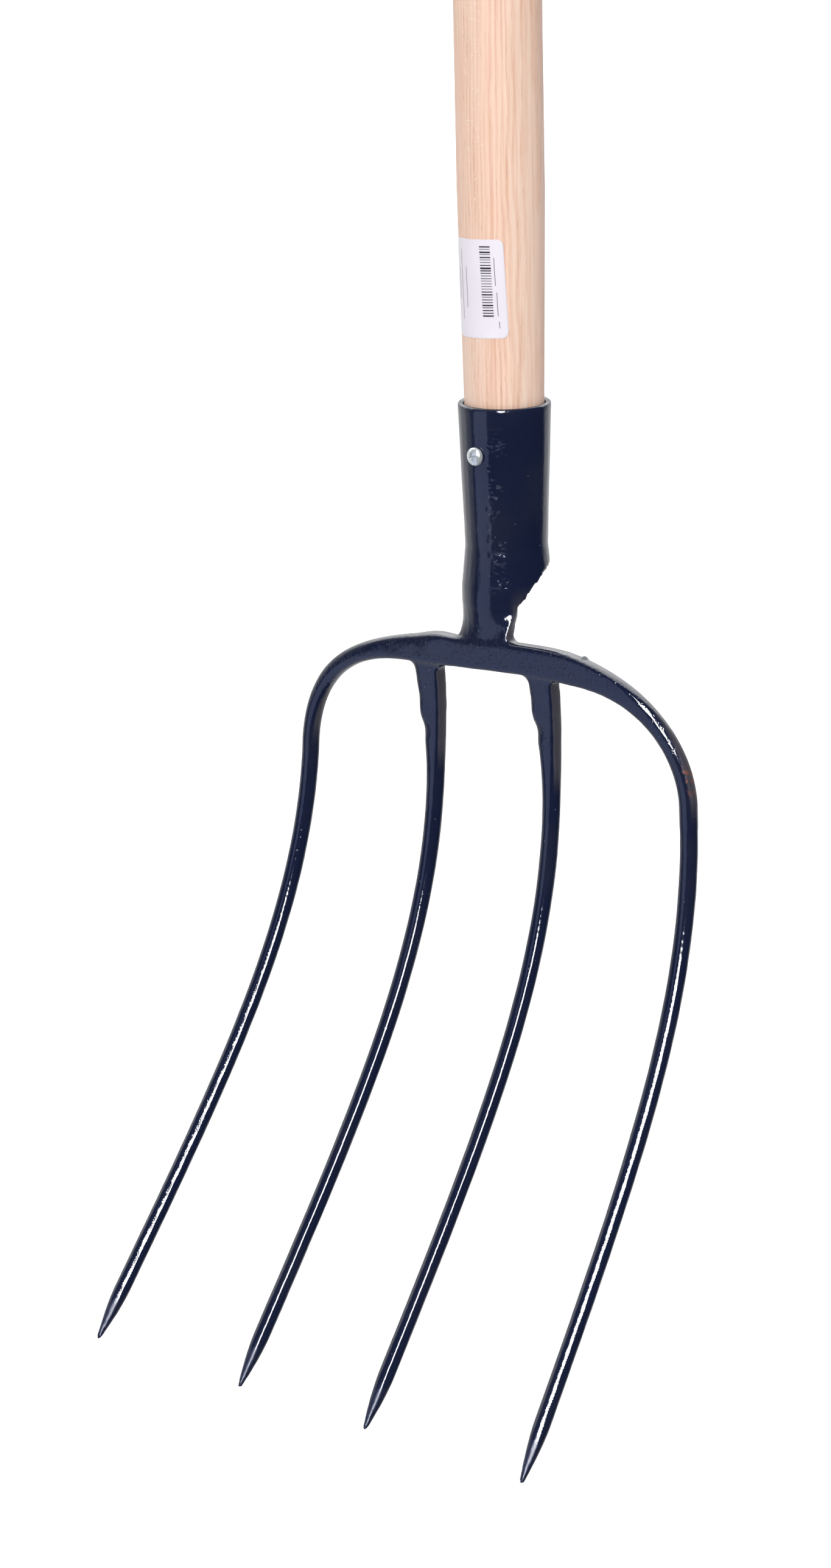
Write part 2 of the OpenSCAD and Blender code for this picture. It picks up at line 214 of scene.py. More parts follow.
def axes(tree, place):
    """The three parts of a vector."""
    made = tree.nodes.new("ShaderNodeSeparateXYZ")
    join(tree, made.inputs[0], place)
    return [Value(tree, made.outputs[axis]) for axis in "XYZ"]


def turn_round_handle(tree, x, y):
    """The angle round the handle's axis, 0 at the front and positive to the right."""
    return add_node(tree, "ShaderNodeMath", {"operation": "ARCTAN2"}, x, -y)


def new_material(name):
    """A material with a principled shader, its tree and the object's own coordinates."""
    material = bpy.data.materials.new(name)
    material.use_nodes = True
    tree = material.node_tree
    shader = tree.nodes["Principled BSDF"]
    place = add_node(tree, "ShaderNodeTexCoord", {}, out="Object")
    return material, tree, shader, place


def bump(tree, shader, height):
    """Feeds a height in metres to the shader's normal."""
    normal = add_node(tree, "ShaderNodeBump", {}, Height=height, Distance=1.0, Strength=1.0)
    join(tree, shader.inputs["Normal"], normal)


class GeometryTree:
    """A geometry tree with named inputs. It is used once, on one mesh, and its result is a plain mesh."""

    def __init__(self, name):
        self.tree = bpy.data.node_groups.new(name, "GeometryNodeTree")
        self.tree.interface.new_socket("Geometry", in_out="OUTPUT", socket_type="NodeSocketGeometry")
        self.tree.interface.new_socket("Geometry", in_out="INPUT", socket_type="NodeSocketGeometry")
        self.entry = self.tree.nodes.new("NodeGroupInput")
        self.sizes = {}

    def geometry(self):
        return Value(self.tree, self.entry.outputs["Geometry"])

    def size(self, name, value):
        """A named input and the value that this object gives it."""
        kind = "NodeSocketInt" if isinstance(value, int) else "NodeSocketFloat"
        socket = self.tree.interface.new_socket(name, in_out="INPUT", socket_type=kind)
        self.sizes[socket.identifier] = value
        return Value(self.tree, self.entry.outputs[name])

    def add(self, kind, settings, *inputs, out=0, **named):
        return add_node(self.tree, kind, settings, *inputs, out=out, **named)

    def vector(self, x, y, z):
        return self.add("ShaderNodeCombineXYZ", {}, x, y, z)

    def finish(self, shape, material):
        real = self.add("GeometryNodeRealizeInstances", {}, shape)
        painted = self.add("GeometryNodeSetMaterial", {}, real, Material=material)
        leave = self.tree.nodes.new("NodeGroupOutput")
        join(self.tree, leave.inputs["Geometry"], painted)

    def run(self, name, start, material):
        """Runs the tree on the start mesh and returns a plain object."""
        source = bpy.data.objects.new(name + "_start", start)
        bpy.context.scene.collection.objects.link(source)
        modifier = source.modifiers.new("shape", "NODES")
        modifier.node_group = self.tree
        for identifier, value in self.sizes.items():
            modifier[identifier] = value
        mesh = evaluated_mesh(source)
        source.modifiers.remove(modifier)
        bpy.data.objects.remove(source)
        return new_piece(name, mesh, material)


def evaluated_mesh(thing):
    """A plain copy of an object's mesh with its modifiers applied."""
    bpy.context.view_layer.update()
    return bpy.data.meshes.new_from_object(thing.evaluated_get(bpy.context.evaluated_depsgraph_get()))


def new_piece(name, mesh, material):
    mesh.name = name
    mesh.materials.clear()
    mesh.materials.append(material)
    piece = bpy.data.objects.new(name, mesh)
    bpy.context.scene.collection.objects.link(piece)
    mesh.shade_smooth()
    return piece


# Materials

NAVY = colour(23, 31, 57)
NAVY_THIN = colour(33, 38, 60)
DUST = colour(150, 155, 170)
RUST = colour(122, 72, 50)
SIDE_SHEEN_GREY = colour(74, 72, 80)
MARK_GLINT_GREY = colour(72, 78, 100)
STROKE_DEPTH = 0.05 * MM


def enamel():
    """Gloss navy enamel over forged steel: orange peel, pits, specks of dust and rust chips. The sides that
    face right get a painted grey reflection and more roughness, and the hammer marks on the socket get painted
    glints.
    """
    material, tree, shader, place = new_material("navy_enamel")
    x, y, z = axes(tree, place)
    normal = add_node(tree, "ShaderNodeTexCoord", {}, out="Normal")
    facing_right, _, _ = axes(tree, normal)
    cloud = noise(tree, place, 22.0, 3.0)
    paint = mix_colour(tree, cloud.step(0.45, 0.75), NAVY, NAVY_THIN)
    distance, chance, _ = cells(tree, place, 260.0)
    speck = distance.below(0.07) * chance.above(0.86)
    paint = mix_colour(tree, speck * 0.45, paint, DUST)
    # Sides that face right, near the yoke: painted a lighter grey as a painted reflection, and made rougher.
    side_sheen_height = z.between(YOKE_Z - 55 * MM, YOKE_Z + 26 * MM, 8 * MM)
    dull_side_sheen = facing_right.step(0.62, 0.86) * side_sheen_height
    paint = mix_colour(tree, dull_side_sheen * 0.75, paint, SIDE_SHEEN_GREY)
    chip_cloud = noise(tree, place, 420.0, 3.0, 0.6)
    chip = chip_cloud.step(0.50, 0.56) * x.above(104 * MM) * facing_right.step(0.5, 0.8)
    chip = chip * z.between(YOKE_Z - 47 * MM, YOKE_Z - 36 * MM, 3 * MM)
    paint = mix_colour(tree, chip * 0.8, paint, RUST)
    # Hammer marks on the socket: painted a lighter grey as painted glints, and the same mask gives them a
    # shallow bump.
    marks_and_glints = hammer_marks_and_glints(tree, place, x, y, z)
    paint = mix_colour(tree, marks_and_glints * 0.95, paint, MARK_GLINT_GREY)
    point = 1 - z.step(HEAD_LOW.z + 14 * MM, HEAD_LOW.z + 21 * MM)
    shader.inputs["IOR"].default_value = 1.5
    join(tree, shader.inputs["Base Color"], paint)
    join(tree, shader.inputs["Roughness"], 0.08 + cloud * 0.05 + (dull_side_sheen + chip + point) * 0.3)
    peel = noise(tree, place, 420.0, 2.0, 0.45)
    waves = noise(tree, place, 120.0, 2.0, 0.5)
    pits = noise(tree, place, 800.0, 1.0)
    pitted = noise(tree, place, 30.0, 2.0).step(0.5, 0.7)
    on_yoke = z.between(YOKE_Z - 45 * MM, YOKE_Z + 16 * MM, 12 * MM)
    pit_depth = pitted * 40e-6 + on_yoke * 60e-6
    height = peel * 50e-6 + waves * 110e-6 - pits.step(0.55, 0.75) * pit_depth
    bump(tree, shader, height - marks_and_glints * STROKE_DEPTH)
    return material


def hammer_marks_and_glints(tree, place, x, y, z):
    """Hammer marks on the right of the socket's front, short and level, in clusters: the mask for their painted
    glints and for their shallow bump.
    """
    scales = noise(tree, stretched(tree, place, (330.0, 330.0, 620.0)), 1.0, 2.0)
    clusters = noise(tree, place, 90.0, 1.0).step(0.36, 0.56)
    angle = turn_round_handle(tree, x, y)
    strip = angle.step(0.22, 0.30) * (1 - angle.step(0.42, 0.80))
    rise = z.between(YOKE_Z + 32 * MM, MOUTH_Z - 12 * MM, 5 * MM)
    return scales.step(0.54, 0.64) * clusters * strip * rise


ASH_PALE = colour(253, 226, 208)
ASH_WARM = colour(252, 215, 194)
ASH_RING = colour(230, 178, 146)
ASH_PORE = colour(198, 142, 112)
ASH_FLECK = colour(255, 236, 222)
ASH_PAINTED_SHADE = colour(206, 178, 168)


def ash():
    """Sanded pale ash: growth rings cut lengthwise, open pores in the early wood, fibres and ray flecks. Its
    right back is painted in shade, and its grain fades on the left as painted light.
    """
    material, tree, shader, place = new_material("ash_wood")
    x, y, z = axes(tree, place)
    ring_width = 1.9 * MM
    drift = noise(tree, stretched(tree, place, (16.0, 16.0, 5.0)), 1.0, 2.0)
    wobble = noise(tree, stretched(tree, place, (130.0, 130.0, 26.0)), 1.0, 3.0)
    heart = ((x + 90 * MM) * (x + 90 * MM) + (y + 12 * MM) * (y + 12 * MM)).root()
    turn = (heart / ring_width + drift * 3.4 + wobble * 1.5).fraction()
    early = turn.step(0.0, 0.16) * (1 - turn.step(0.22, 0.75))
    year = noise(tree, stretched(tree, place, (150.0, 150.0, 3.0)), 1.0, 1.0)
    early = early * year.step(0.25, 0.62)
    fibre = noise(tree, stretched(tree, place, (2600.0, 2600.0, 60.0)), 1.0, 3.0, 0.6)
    streak = noise(tree, stretched(tree, place, (620.0, 620.0, 12.0)), 1.0, 3.0, 0.65)
    pores = noise(tree, stretched(tree, place, (3000.0, 3000.0, 120.0)), 1.0, 2.0)
    pore = pores.step(0.58, 0.70) * (early * 0.9 + 0.10)
    angle = turn_round_handle(tree, x, y)
    fleck = noise(tree, stretched(tree, place, (500.0, 500.0, 900.0)), 1.0, 1.0).step(0.62, 0.72)
    fleck = fleck * angle.between(-0.25, 0.3, 0.12)
    tone = noise(tree, stretched(tree, place, (45.0, 45.0, 3.0)), 1.0, 2.0)
    wood = mix_colour(tree, tone.step(0.3, 0.75), ASH_PALE, ASH_WARM)
    # The grain fades towards the left side, which paints that side paler as painted light.
    grain_share_left_lit = 0.62 + angle.step(-0.5, 0.35) * 0.38
    grain = (early * 0.42 + streak.step(0.42, 0.72) * 0.5).clamped() * grain_share_left_lit
    wood = mix_colour(tree, grain, wood, ASH_RING)
    wood = mix_colour(tree, pore * 0.6, wood, ASH_PORE)
    wood = mix_colour(tree, fleck * 0.5, wood, ASH_FLECK)
    wood = mix_colour(tree, fibre.step(0.35, 0.75) * 0.2, wood, ASH_RING)
    # Painted shade: the right back of the handle, away from the light, is painted a greyer tone.
    shade = angle.step(1.35, 2.2)
    wood = mix_colour(tree, shade * 0.55, wood, ASH_PAINTED_SHADE)
    join(tree, shader.inputs["Base Color"], wood)
    join(tree, shader.inputs["Roughness"], 0.52 + early * 0.12)
    bump(tree, shader, fibre * 18e-6 - pore * 40e-6 - early * 12e-6)
    return material


def zinc():
    """Bright zinc plate with faint marks."""
    material, tree, shader, place = new_material("zinc_plate")
    marks = noise(tree, place, 900.0, 3.0)
    shade = mix_colour(tree, marks.step(0.4, 0.7), (0.74, 0.78, 0.80), (0.56, 0.60, 0.62))
    join(tree, shader.inputs["Base Color"], shade)
    shader.inputs["Metallic"].default_value = 0.5
    join(tree, shader.inputs["Roughness"], 0.22 + marks * 0.14)
    bump(tree, shader, marks * 10e-6)
    return material


def paper():
    """Smooth white label paper."""
    material, tree, shader, place = new_material("label_paper")
    grain = noise(tree, place, 1500.0, 3.0)
    cloud = noise(tree, place, 60.0, 2.0)
    white = mix_colour(tree, cloud, colour(249, 244, 252), colour(242, 236, 246))
    join(tree, shader.inputs["Base Color"], white)
    join(tree, shader.inputs["Roughness"], 0.42 + grain * 0.1)
    bump(tree, shader, grain * 4e-6)
    return material


def ink(name, dark, pale):
    """Printing ink, a little uneven."""
    material, tree, shader, place = new_material(name)
    patch = noise(tree, place, 1800.0, 2.0)
    join(tree, shader.inputs["Base Color"], mix_colour(tree, patch.step(0.4, 0.8), dark, pale))
    join(tree, shader.inputs["Roughness"], 0.5 + patch * 0.1)
    return material


# The bars of the head, with the formulas of the part's source and finer sections

TINE_DROP = 321 * MM
INNER_SPAN_TOP = 67 * MM
INNER_SPAN_TIP = 75.5 * MM
OUTER_SPAN_TOP = 223 * MM
OUTER_SPAN_TIP = 255 * MM
ROOT_LEAN = math.radians(9)
TIP_LEAN = math.radians(38.5)
BEND_LENGTH = 132 * MM
BEND_POWER = 1.7
TINE_WIDTH = 8 * MM
TINE_END_WIDTH = 7.3 * MM
TINE_DEPTH_SHARE = 0.96
POINT_LENGTH = 26 * MM
POINT_FULLNESS = 1.5
TIP_RADIUS = 1.1 * MM
YOKE_HEIGHT = 14 * MM
YOKE_DEPTH = 8 * MM
YOKE_Y = -17.6 * MM
YOKE_HALF_LENGTH = 36 * MM
YOKE_OFFSET = 8 * MM
YOKE_FADE = 30 * MM
YOKE_FADE_POWER = 1.6
SHOULDER_FALL = 60 * MM
SHOULDER_SQUARENESS = 3.5
SHOULDER_SKEW = 3 * MM
SKEW_REACH = 89 * MM
ROOT_WIDTH = 13.5 * MM
ROOT_LENGTH = 32 * MM
ROOT_SET_IN = 0.1 * MM
CORNER_RADIUS = 4 * MM
YOKE_SQUARENESS = 7
TINE_SQUARENESS = 2.4

SIDE_STEP = 4 * MM
RING_POINTS = 40
RING_SPACING = 2 * MM
ARCH_STEPS = 80


def blend(low, high, share):
    return low + (high - low) * share


def smooth(share):
    held = min(1, max(0, share))
    return held * held * (3 - 2 * held)


def signed_power(value, power):
    return math.copysign(abs(value) ** power, value)


def lean(run):
    """Lean of the tines after a run from the yoke's middle."""
    return TIP_LEAN - (TIP_LEAN + ROOT_LEAN) * math.exp(-(run / BEND_LENGTH) ** BEND_POWER)


def side_points():
    """Side view of the tines, shared by all four: height, run and y from the yoke's middle down."""
    run, y, z = 0, YOKE_Y, 0
    points = []
    while z > -TINE_DROP - 2 * SIDE_STEP:
        points.append((z, run, y))
        angle = lean(run + SIDE_STEP / 2)
        run, y, z = run + SIDE_STEP, y - SIDE_STEP * math.sin(angle), z - SIDE_STEP * math.cos(angle)
    return points


SIDE_POINTS = side_points()


def on_side(z):
    """Run and y at a height z, between the points of the side view."""
    if z >= 0:
        return SIDE_POINTS[0][1:]
    for (z_high, run_high, y_high), (z_low, run_low, y_low) in zip(SIDE_POINTS, SIDE_POINTS[1:]):
        if z >= z_low:
            share = (z_high - z) / (z_high - z_low)
            return blend(run_high, run_low, share), blend(y_high, y_low, share)
    return SIDE_POINTS[-1][1:]


def skew_rise(x):
    return SHOULDER_SKEW * math.sin(math.pi / 2 * max(-1, min(1, x / SKEW_REACH)))


def arch_point(angle):
    """Middle line of the arch: the yoke at angle 0 and the feet of the shoulders a quarter turn away."""
    x = OUTER_SPAN_TOP / 2 * signed_power(math.sin(angle), 2 / SHOULDER_SQUARENESS)
    z = SHOULDER_FALL * (math.cos(angle) - 1) + skew_rise(x)
    return Vector((x, on_side(z)[1], z))


def above_tip(distance):
    return -TINE_DROP + distance * math.cos(TIP_LEAN)


def tine_heights(top):
    """Heights of a tine's sections from its tip up."""
    tip = [TIP_RADIUS * (1 - math.cos(math.radians(turn))) for turn in range(10, 90, 10)]
    point = [blend(TIP_RADIUS, POINT_LENGTH, i / 16) for i in range(1, 17)]
    start = above_tip(POINT_LENGTH)
    steps = math.ceil((top - start) / RING_SPACING)
    return [above_tip(d) for d in tip + point] + [blend(start, top, i / steps) for i in range(1, steps + 1)]


def tine_point(z, top, x_top, x_tip):
    run_top, run_tip = on_side(top)[0], on_side(-TINE_DROP)[0]
    run, y = on_side(z)
    return Vector((blend(x_top, x_tip, (run - run_top) / (run_tip - run_top)), y, z))


def point_share(z):
    """Share of its full size that a tine has at a height: less than 1 only in the pointed end."""
    distance = (z + TINE_DROP) / math.cos(TIP_LEAN)
    blunt = 2 * TIP_RADIUS / TINE_END_WIDTH
    if distance >= POINT_LENGTH:
        return 1
    if distance >= TIP_RADIUS:
        along = (distance - TIP_RADIUS) / (POINT_LENGTH - TIP_RADIUS)
        return blend(blunt, 1, 1 - (1 - along) ** POINT_FULLNESS)
    return blunt * math.sqrt(max(0, 1 - (1 - distance / TIP_RADIUS) ** 2))


def plain_width(z):
    return blend(TINE_WIDTH, TINE_END_WIDTH, smooth(-z / TINE_DROP)) * point_share(z)


def yoke_share(point):
    if point.z < -SHOULDER_FALL - SHOULDER_SKEW:
        return 0
    beyond = max(0, abs(point.x - YOKE_OFFSET) - YOKE_HALF_LENGTH)
    return math.exp(-(beyond / YOKE_FADE) ** YOKE_FADE_POWER)


def section(centre, ahead, width, depth, squareness):
    """One ring of a bar: a rounded oval square to the bar's direction."""
    side = Vector((0, -1, 0)).cross(ahead).normalized()
    front = ahead.cross(side)
    ring = []
    for i in range(RING_POINTS):
        angle = math.tau * i / RING_POINTS
        ring.append(centre + side * (width / 2 * signed_power(math.cos(angle), 2 / squareness))
                    + front * (depth / 2 * signed_power(math.sin(angle), 2 / squareness)))
    return ring


def direction(line, i):
    return (line[min(i + 1, len(line) - 1)] - line[max(i - 1, 0)]).normalized()


def add_bar(work, line, sizes):
    """Adds a closed bar to the mesh: a ring at each point of its line, with its width, depth and squareness."""
    rings = [section(point, direction(line, i), *sizes(point)) for i, point in enumerate(line)]
    verts = [[work.verts.new(p + Vector((0, 0, YOKE_Z))) for p in ring] for ring in rings]
    for low, high in zip(verts, verts[1:]):
        for i in range(RING_POINTS):
            j = (i + 1) % RING_POINTS
            work.faces.new((low[i], low[j], high[j], high[i]))
    work.faces.new(verts[0][::-1])
    work.faces.new(verts[-1])


def outer_bar_sizes(point):
    share = yoke_share(point)
    plain = plain_width(point.z)
    return (blend(plain, YOKE_HEIGHT, share), blend(plain * TINE_DEPTH_SHARE, YOKE_DEPTH, share),
            blend(TINE_SQUARENESS, YOKE_SQUARENESS, share))


def add_outer_bar(work):
    """The outer tines, the shoulders and the yoke, as one bar bent over from tip to tip."""
    left_foot, right_foot = arch_point(-math.pi / 2), arch_point(math.pi / 2)
    left = [tine_point(z, left_foot.z, left_foot.x, -OUTER_SPAN_TIP / 2) for z in tine_heights(left_foot.z)]
    arch = [arch_point(math.pi / 2 * i / ARCH_STEPS) for i in range(1 - ARCH_STEPS, ARCH_STEPS)]
    right = [tine_point(z, right_foot.z, right_foot.x, OUTER_SPAN_TIP / 2)
             for z in reversed(tine_heights(right_foot.z))]
    add_bar(work, left + arch + right, outer_bar_sizes)


def add_inner_tine(work, side):
    """One inner tine, with its root widened into the yoke."""
    bottom = skew_rise(side * INNER_SPAN_TOP / 2) - YOKE_HEIGHT / 2

    def sizes(point):
        below = bottom - point.z
        share = math.exp(-(max(0, below) / ROOT_LENGTH) ** 2)
        into = CORNER_RADIUS - min(CORNER_RADIUS, max(0, below))
        flare = CORNER_RADIUS - math.sqrt(CORNER_RADIUS ** 2 - into ** 2)
        width = plain_width(point.z)
        return (blend(width, ROOT_WIDTH, share) + 2 * flare,
                blend(width * TINE_DEPTH_SHARE, YOKE_DEPTH - 2 * ROOT_SET_IN, share),
                blend(TINE_SQUARENESS, YOKE_SQUARENESS, share))

    flare_heights = [bottom - CORNER_RADIUS * (i / 12) ** 2 for i in range(11, -1, -1)]
    heights = tine_heights(bottom - CORNER_RADIUS) + flare_heights + [0]
    line = [tine_point(z, 0, side * INNER_SPAN_TOP / 2, side * INNER_SPAN_TIP / 2) for z in heights]
    add_bar(work, line, sizes)


# The forged head

HEAD_VOXEL = 0.95 * MM
SMOOTH_ROUNDS = 3
SMOOTH_SHARE = 0.5


def remeshed_head():
    """A fine and even mesh over the CAD head and its finer bars."""
    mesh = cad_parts["fork_head"].data.copy()
    work = bmesh.new()
    work.from_mesh(mesh)
    bmesh.ops.remove_doubles(work, verts=work.verts, dist=1e-6)
    add_outer_bar(work)
    add_inner_tine(work, -1)
    add_inner_tine(work, 1)
    bmesh.ops.recalc_face_normals(work, faces=work.faces)
    work.to_mesh(mesh)
    work.free()
    rough = bpy.data.objects.new("head_rough", mesh)
    bpy.context.scene.collection.objects.link(rough)
    remesh = rough.modifiers.new("even", "REMESH")
    remesh.mode = "VOXEL"
    remesh.voxel_size = HEAD_VOXEL
    evened = rough.modifiers.new("smooth", "SMOOTH")
    evened.factor = SMOOTH_SHARE
    evened.iterations = SMOOTH_ROUNDS
    fine = evaluated_mesh(rough)
    bpy.data.objects.remove(rough)
    return fine


# Lumps and hollows of the forging: place, radius and height. First the burr on the right shoulder.
LUMPS = (
    ((0.0565, -0.0155, -0.7673), 2.4 * MM, 1.2 * MM),
    ((-0.0280, -0.0153, -0.7687), 15 * MM, 0.9 * MM),
    ((-0.0394, -0.0163, -0.8063), 8 * MM, 0.7 * MM),
    ((-0.0395, -0.0158, -0.8145), 7 * MM, -0.6 * MM),
    ((0.0283, -0.0174, -0.7958), 8 * MM, 0.7 * MM),
    ((0.0284, -0.0165, -0.8045), 7 * MM, -0.6 * MM),
)


def hammered_head(material):
    """The head with its forged surface: a slow wobble, hammer marks on the socket, flats along the tines."""
    job = GeometryTree("forged_surface")
    head = job.geometry()
    wobble_depth = job.size("Wobble depth", 0.22 * MM)
    mark_depth = job.size("Mark depth", 0.26 * MM)
    mark_radius = job.size("Mark radius", 2.2 * MM)
    density = job.size("Marks per square metre", 70000.0)
    seed = job.size("Seed", 7)
    flat_depth = job.size("Flat depth", 4.0 * MM)
    outer_start = job.size("Outer tines start", 90 * MM)
    place = job.add("GeometryNodeInputPosition", {})
    normal = job.add("GeometryNodeInputNormal", {})
    x, y, z = axes(job.tree, place)
    rise = z - YOKE_Z
    on_socket = rise.between(44 * MM, SOCKET_HEIGHT - 10 * MM, 3 * MM)
    strip = (turn_round_handle(job.tree, x, y) - 0.46).size().below(0.24)
    outside = (x * x + y * y).above((SOCKET_WAIST_RADIUS - 0.4 * MM) ** 2)
    points = job.add("GeometryNodeDistributePointsOnFaces", {"distribute_method": "RANDOM"}, head,
                     on_socket.above(0.5) * strip * outside, Density=density, Seed=seed)
    near = job.add("GeometryNodeProximity", {"target_element": "POINTS"}, points, out="Distance")
    hollow = (1 - (near / mark_radius).clamped().step(0.0, 1.0)) * on_socket * outside
    wave = noise(job.tree, place, 55.0, 1.0) - 0.5
    away_from_edges = 1 - rise.between(16 * MM, WAIST_HEIGHT, 4 * MM) * 0.8
    facing = job.add("ShaderNodeVectorMath", {"operation": "DOT_PRODUCT"}, normal, (0.52, -0.67, 0.53),
                     out="Value")
    flat = (facing - 0.94).at_least(0.0) * x.size().above(outer_start) * flat_depth
    move = wave * wobble_depth * away_from_edges - hollow * mark_depth - flat
    for centre, radius, height in LUMPS:
        distance = job.add("ShaderNodeVectorMath", {"operation": "DISTANCE"}, place, centre, out="Value")
        move = move + (1 - distance.step(0.0, radius)) * height
    offset = job.add("ShaderNodeVectorMath", {"operation": "SCALE"}, normal, Scale=move)
    shaped = job.add("GeometryNodeSetPosition", {}, head, Offset=offset)
    job.finish(shaped, material)
    return job.run("forged_head", remeshed_head(), material)


# The handle

HANDLE_SIDES = 128
HANDLE_STEPS = 220
FOOT_CHAMFER = 0.8 * MM


def empty_start(name):
    """A mesh of one point, for a tree that makes all of its geometry itself."""
    mesh = bpy.data.meshes.new(name)
    mesh.from_pydata([(0, 0, 0)], [], [])
    return mesh


def turned_handle(material):
    """The handle as a lathe makes it: a cone in the socket, a taper, a straight stretch and a round end."""
    job = GeometryTree("turned_handle")
    foot = job.size("Foot height", HANDLE_LOW.z)
    top = job.size("Top height", HANDLE_HIGH.z)
    mouth = job.size("Mouth height", MOUTH_Z)
    taper = job.size("Taper length", TAPER_LENGTH)
    mouth_radius = job.size("Mouth radius", MOUTH_RADIUS)
    grip_radius = job.size("Grip radius", GRIP_RADIUS)
    foot_radius = job.size("Foot radius", HANDLE_FOOT_RADIUS)
    end_radius = job.size("End radius", END_RADIUS)
    chamfer = job.size("Foot chamfer", FOOT_CHAMFER)
    sides = job.size("Sides", HANDLE_SIDES)
    steps = job.size("Steps", HANDLE_STEPS)
    points = job.add("GeometryNodeMeshLine", {"mode": "OFFSET"}, Count=steps)
    index = job.add("GeometryNodeInputIndex", {})
    share = index / (steps - 1)
    ends = 1 - (share * math.pi).math("COSINE")
    height = foot + (top - foot) * ends / 2
    line = job.add("GeometryNodeSetPosition", {}, points, Position=job.vector(0.0, 0.0, height))
    curve = job.add("GeometryNodeMeshToCurve", {}, line)
    place = job.add("GeometryNodeInputPosition", {})
    z = axes(job.tree, place)[2]
    cone = foot_radius + (mouth_radius - foot_radius) * ((z - foot) / (mouth - foot)).clamped()
    body = cone + (grip_radius - mouth_radius) * ((z - mouth) / taper).clamped()
    into_end = ((z - (top - end_radius)) / end_radius).clamped()
    end_cut = end_radius * (1 - (1 - into_end * into_end).root())
    foot_cut = chamfer * (1 - ((z - foot) / chamfer).clamped())
    radius = body - end_cut - foot_cut
    ring = job.add("GeometryNodeCurvePrimitiveCircle", {"mode": "RADIUS"}, Resolution=sides, Radius=1.0)
    mesh = job.add("GeometryNodeCurveToMesh", {}, curve, ring, Scale=radius)
    job.finish(mesh, material)
    return job.run("turned_handle", empty_start("handle_start"), material)


def close_ends(piece):
    """Closes open rings with flat faces and turns all faces outwards."""
    work = bmesh.new()
    work.from_mesh(piece.data)
    bmesh.ops.remove_doubles(work, verts=work.verts, dist=1e-7)
    bmesh.ops.holes_fill(work, edges=[e for e in work.edges if e.is_boundary], sides=0)
    bmesh.ops.recalc_face_normals(work, faces=work.faces)
    work.to_mesh(piece.data)
    work.free()


# The label and its print

LABEL_LIFT = 0.25 * MM
PAPER_THICKNESS = 0.18 * MM
LABEL_HALF_ARC = 14.4 * MM
LABEL_SHIFT = 0.4 * MM
LABEL_ROWS = 60
LABEL_COLUMNS = 48


def handle_radius(z):
    share = min(1, max(0, (z - MOUTH_Z) / TAPER_LENGTH))
    return MOUTH_RADIUS + (GRIP_RADIUS - MOUTH_RADIUS) * share


def wrap(across, along, lift):
    """A point of the label: across and along its tilted face, laid round the handle and lifted off it."""
    turned = across * math.cos(LABEL_TILT) + along * math.sin(LABEL_TILT)
    z = LABEL_Z + along * math.cos(LABEL_TILT) - across * math.sin(LABEL_TILT)
    radius = handle_radius(z) + lift
    angle = turned / radius
    return (radius * math.sin(angle), -radius * math.cos(angle), z)


def edge_at(along, half_width, half_length, corner):
    """Half width of a rounded rectangle at a distance along it."""
    into = abs(along) - (half_length - corner)
    if into <= 0:
        return half_width
    return half_width - corner + math.sqrt(max(0, corner * corner - into * into))


def label_sheet(material):
    """The label as a thin sheet with round corners, laid round the handle."""
    half_length = LABEL_LENGTH / 2
    work = bmesh.new()
    grid = []
    for row in range(LABEL_ROWS + 1):
        along = -half_length * math.cos(math.pi * row / LABEL_ROWS)
        reach = edge_at(along, LABEL_HALF_ARC, half_length, LABEL_CORNER)
        grid.append([work.verts.new(wrap(LABEL_SHIFT + reach * (2 * c / LABEL_COLUMNS - 1), along, LABEL_LIFT))
                     for c in range(LABEL_COLUMNS + 1)])
    for low, high in zip(grid, grid[1:]):
        for c in range(LABEL_COLUMNS):
            work.faces.new((low[c], low[c + 1], high[c + 1], high[c]))
    mesh = bpy.data.meshes.new("paper_label")
    work.to_mesh(mesh)
    work.free()
    piece = new_piece("paper_label", mesh, material)
    thick = piece.modifiers.new("paper", "SOLIDIFY")
    thick.thickness = PAPER_THICKNESS
    thick.offset = -1
    return piece


PRINT_LIFT = 0.28 * MM
BAR_ACROSS = 6.1 * MM
BAR_LENGTH = 5.1 * MM
BAR_COUNT = 27
BAR_TOP = 19 * MM
BAR_SPACING = 1.18 * MM


def printed_bars(material):
    """Made-up bars that stand for no number: their widths and gaps come from a seeded random draw."""
    job = GeometryTree("label_bars")
    count = job.size("Bars", BAR_COUNT)
    spacing = job.size("Spacing", BAR_SPACING)
    length = job.size("Bar length", BAR_LENGTH)
    thinnest = job.size("Thinnest bar", 0.26 * MM)
    thickest = job.size("Thickest bar", 0.9 * MM)
    top = job.size("Top", BAR_TOP)
    centre = job.size("Place across", BAR_ACROSS)
    seed = job.size("Seed", 4)
    points = job.add("GeometryNodeMeshLine", {"mode": "OFFSET"}, Count=count)
    index = job.add("GeometryNodeInputIndex", {})
    chance = job.add("FunctionNodeRandomValue", {"data_type": "FLOAT"}, ID=index, Seed=seed, out=1)
    thick = thinnest + (thickest - thinnest) * chance * chance
    line = job.add("GeometryNodeSetPosition", {}, points,
                   Position=job.vector(centre, top - index * spacing - chance * spacing * 0.25, 0.0))
    bar = job.add("GeometryNodeMeshGrid", {}, Size_X=1.0, Size_Y=1.0, Vertices_X=9, Vertices_Y=2)
    bars = job.add("GeometryNodeInstanceOnPoints", {}, line, Instance=bar,
                   Scale=job.vector(length, thick, 1.0))
    job.finish(bars, material)
    return wrapped_print(job.run("label_bars", empty_start("bars_start"), material))


